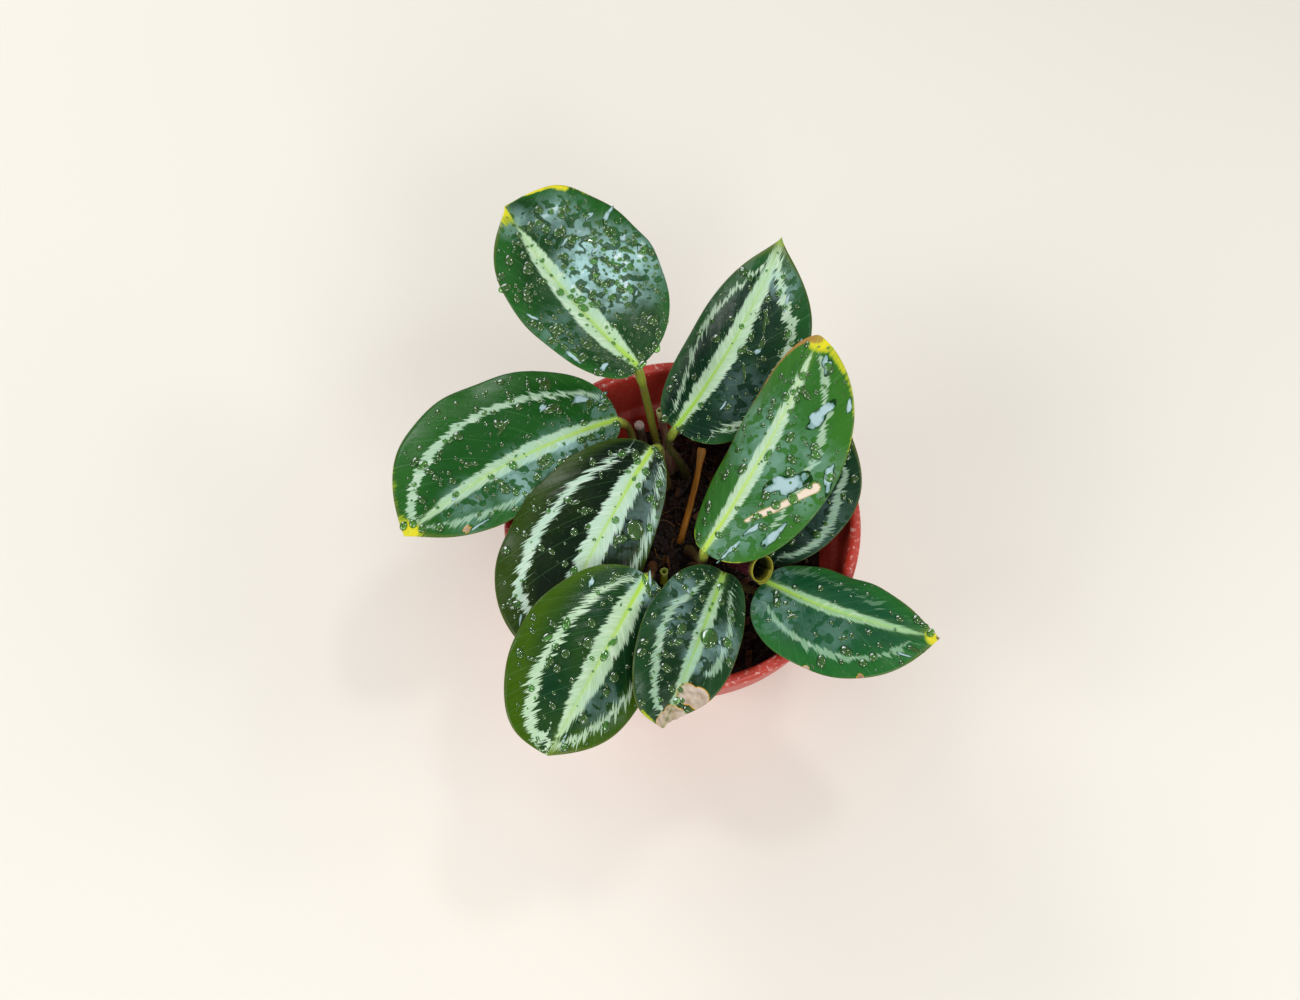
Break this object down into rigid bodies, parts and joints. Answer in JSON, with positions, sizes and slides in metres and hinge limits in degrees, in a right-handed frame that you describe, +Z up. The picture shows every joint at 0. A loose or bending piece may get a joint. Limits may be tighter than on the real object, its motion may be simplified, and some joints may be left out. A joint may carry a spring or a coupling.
{
  "type": "potted medallion calathea",
  "caption": "Young patterned prayer plant with broad banded leaves on slim stalks, growing in a soil-filled round plastic nursery pot that stands on its flat base.",
  "frame": {"origin": "centre of the pot's flat underside", "axes": "+Z up along the pot's axis; -Y towards the side with the drooping front leaves; +X to the right seen from there"},
  "size_m": [0.1841, 0.1896, 0.1409],
  "materials": {
    "pot": "terracotta-red moulded polypropylene, satin",
    "soil": "damp potting mix of peat and bark chips",
    "blade": "wet leaf blade, dark green with pale green bands, maroon below",
    "petiole": "leaf stalk, olive green with a tan ridge",
    "rolled": "young leaf rolled into a maroon tube with an olive mouth",
    "stub": "cut stalk, maroon-streaked with a pale green end",
    "hollow": "hollow lime-green cut stalk",
    "dried": "dried orange-brown stalk",
    "sheath": "dry papery brown sheath",
    "cut_stalk": "old dark stalk with a pale cut end"
  },
  "bodies": {
    "root": {"pot": "pot", "soil": "soil", "leaf_1_blade": "blade", "leaf_1_petiole": "petiole", "leaf_2_blade": "blade", "leaf_2_petiole": "petiole", "leaf_3_blade": "blade", "leaf_3_petiole": "petiole", "leaf_4_blade": "blade", "leaf_4_petiole": "petiole", "leaf_5_blade": "blade", "leaf_5_petiole": "petiole", "leaf_6_blade": "blade", "leaf_6_petiole": "petiole", "leaf_7_blade": "blade", "leaf_7_petiole": "petiole", "leaf_8_blade": "blade", "leaf_8_petiole": "petiole", "leaf_9_blade": "blade", "leaf_9_petiole": "petiole", "rolled_leaf": "rolled", "maroon_stub": "stub", "hollow_stub": "hollow", "dried_petiole": "dried", "dry_sheath": "sheath", "cut_stalk": "cut_stalk"}
  },
  "joints": []
}
